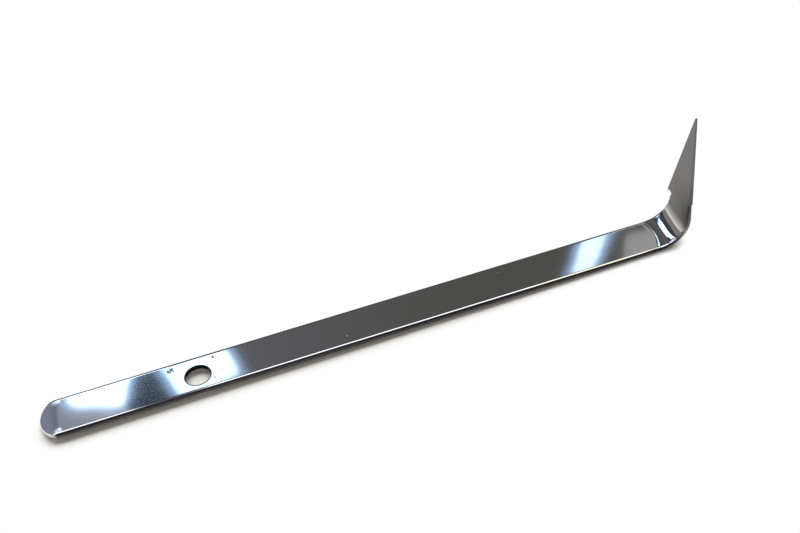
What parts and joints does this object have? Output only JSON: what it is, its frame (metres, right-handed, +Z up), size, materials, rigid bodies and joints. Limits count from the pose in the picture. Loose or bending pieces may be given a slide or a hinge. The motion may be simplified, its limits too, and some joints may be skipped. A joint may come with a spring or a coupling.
{
  "type": "pottery trimming tool",
  "caption": "One-piece strip-steel trimming tool for clay: flat polished handle with a hanging hole, its end bent up and ground into a pointed blade with a notched heel.",
  "frame": {"origin": "middle of the tool's length, on the strip's centre line, at the flat underside of the handle", "axes": "+X along the handle from the rounded butt to the blade, +Y across the strip to the side of the cutting edge, +Z up, the way the blade stands"},
  "size_m": [0.1807, 0.0139, 0.0424],
  "materials": {
    "steel": "bright polished strip, blade ground to a satin grey"
  },
  "bodies": {
    "root": {"handle_and_blade": "steel"}
  },
  "joints": []
}
